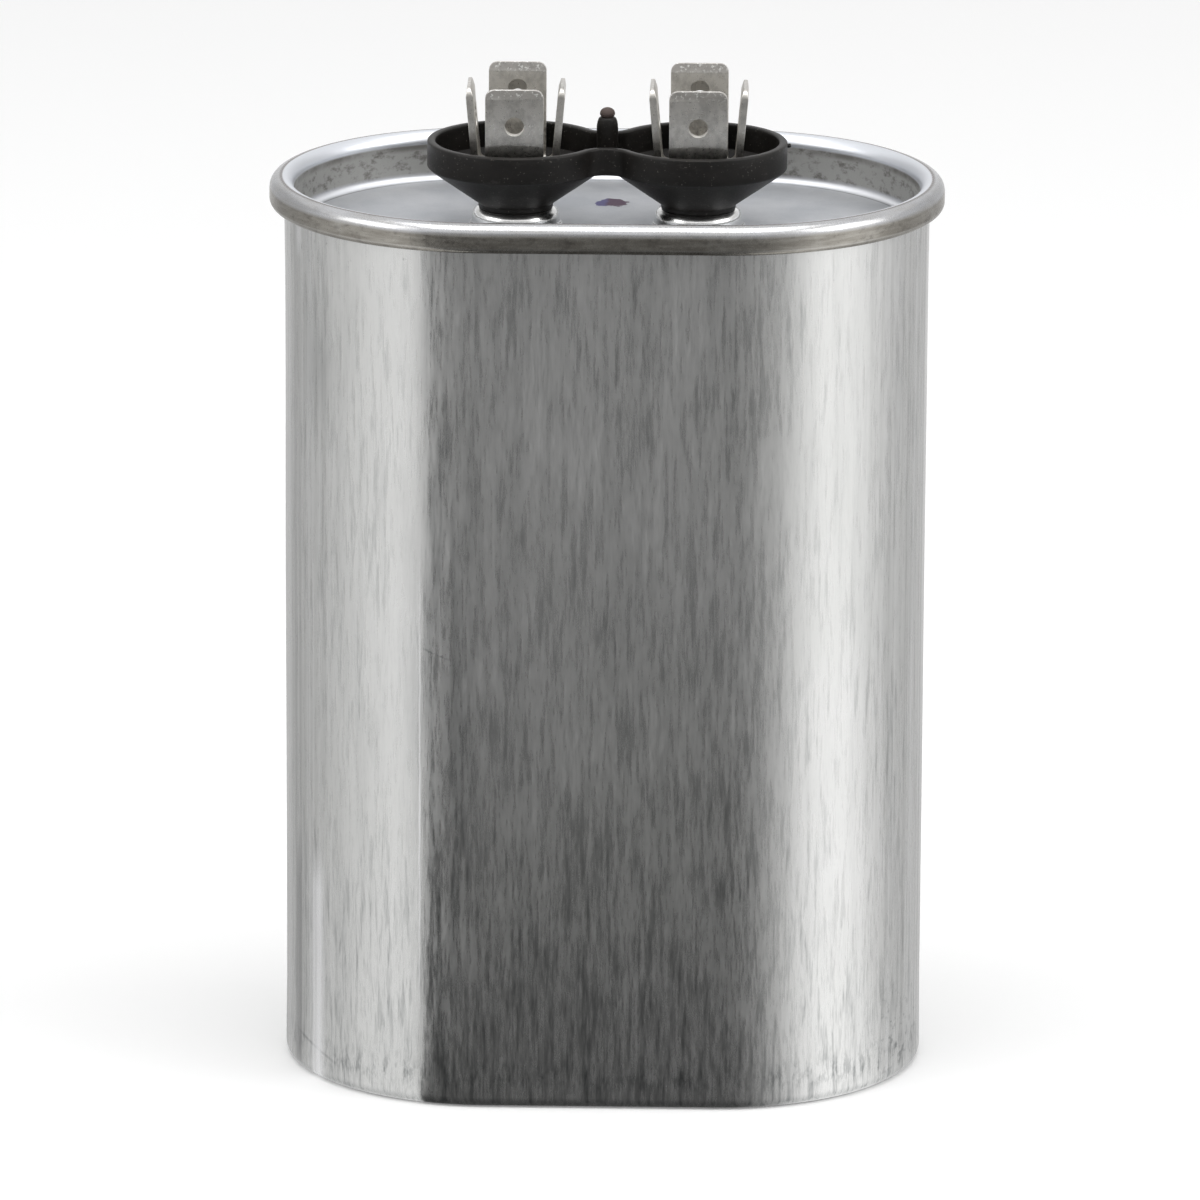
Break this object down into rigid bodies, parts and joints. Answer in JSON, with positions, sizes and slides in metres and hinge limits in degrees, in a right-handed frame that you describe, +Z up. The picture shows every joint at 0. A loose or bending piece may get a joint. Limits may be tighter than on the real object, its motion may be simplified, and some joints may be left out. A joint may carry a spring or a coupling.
{
  "type": "motor run capacitor",
  "caption": "Oval aluminium can capacitor for running a motor, with a recessed lid in a rolled seam and quick-connect blade terminals in a moulded cup insulator.",
  "frame": {"origin": "middle of the can's flat underside", "axes": "+Z up the can towards the terminals, X along the long side of the oval from the left terminal to the right one, -Y out of the front flat side"},
  "size_m": [0.074, 0.0484, 0.1111],
  "materials": {
    "can": "drawn, satin, with fine vertical streaks",
    "lid": "tinplate, satin",
    "compound": "matte",
    "insulator": "moulded, semi-gloss black",
    "blades": "tinned brass, satin",
    "rivets": "tinned, satin",
    "seal": "matte",
    "plate": "phenolic sheet",
    "tab": "bare",
    "lead": "bare ribbon",
    "sleeve": "matte",
    "core": "moulded",
    "film": "metallised film, wound",
    "wrap": "film",
    "sprayed_metal": "sprayed zinc, rough",
    "pad": "pressboard"
  },
  "bodies": {
    "root": {"can": "can", "lid": "lid", "seam_compound": "compound", "terminal_insulator": "insulator", "left_blade_strip": "blades", "left_cross_strip": "blades", "right_blade_strip": "blades", "right_cross_strip": "blades", "terminal_rivets": "rivets", "left_seal": "seal", "right_seal": "seal", "inner_plate": "plate", "left_tab": "tab", "right_tab": "tab", "top_lead": "lead", "bottom_lead": "lead", "lead_sleeve": "sleeve", "winding_core": "core", "winding": "film", "winding_wrap": "wrap", "top_contact": "sprayed_metal", "bottom_contact": "sprayed_metal", "bottom_pad": "pad"}
  },
  "joints": []
}
